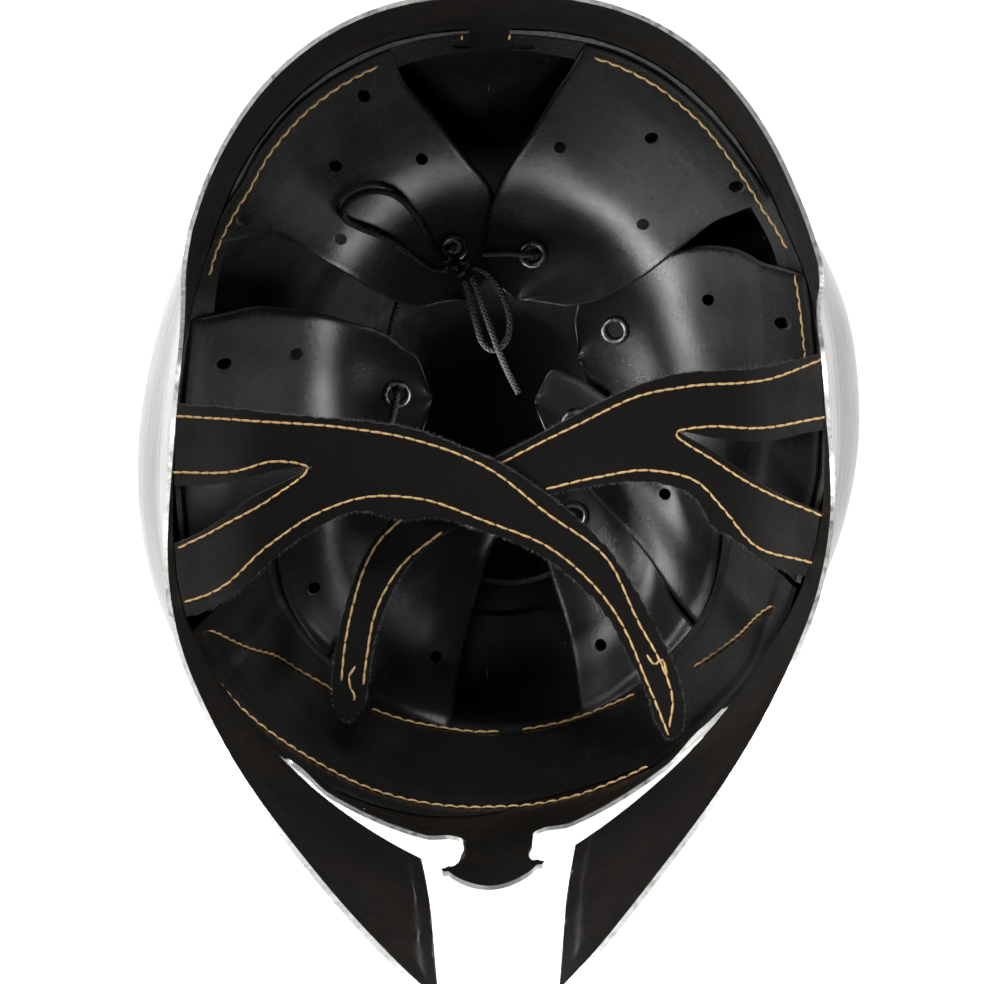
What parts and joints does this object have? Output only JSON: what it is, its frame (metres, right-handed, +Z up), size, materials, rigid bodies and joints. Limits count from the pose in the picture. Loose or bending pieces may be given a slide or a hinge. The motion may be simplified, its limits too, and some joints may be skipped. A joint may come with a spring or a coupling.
{
  "type": "greek helmet",
  "caption": "Corinthian type steel helmet with eye openings and nasal, blackened inside, with a laced leather lining, padded brow band and forked chin straps",
  "frame": {"origin": "middle of the outline seen from above, on the plane that the crown rests on", "axes": "+Z up out of the open rim, as the helmet lies on its crown; +Y towards the nape; -Y towards the face; +X to the right in the picture, which is the wearer's left"},
  "size_m": [0.22, 0.2618, 0.2999],
  "materials": {
    "steel": "polished steel outside, satin black paint inside",
    "lining_leather": "smooth black leather with a fine pebbled grain",
    "strap_leather": "black leather, flesh side out, sewn with ochre thread",
    "blackened_metal": "black lacquered eyelet metal",
    "lace_cord": "black braided cord"
  },
  "bodies": {
    "root": {"shell": "steel", "petal_nape_left": "lining_leather", "petal_nape_right": "lining_leather", "petal_ear_right": "lining_leather", "petal_brow_right_outer": "lining_leather", "petal_brow_right_inner": "lining_leather", "petal_brow_left_inner": "lining_leather", "petal_brow_left_outer": "lining_leather", "petal_ear_left": "lining_leather", "eyelet_nape_left": "blackened_metal", "eyelet_nape_right": "blackened_metal", "eyelet_ear_right": "blackened_metal", "eyelet_brow_right_outer": "blackened_metal", "eyelet_brow_right_inner": "blackened_metal", "eyelet_brow_left_inner": "blackened_metal", "eyelet_brow_left_outer": "blackened_metal", "eyelet_ear_left": "blackened_metal", "rear_band_left": "lining_leather", "rear_band_right": "lining_leather", "brow_band": "lining_leather", "strap_left": "strap_leather", "strap_right": "strap_leather", "lace_ring": "lace_cord", "lace_loop_left": "lace_cord", "lace_loop_right": "lace_cord", "lace_end": "lace_cord", "lace_knot": "lace_cord"}
  },
  "joints": []
}
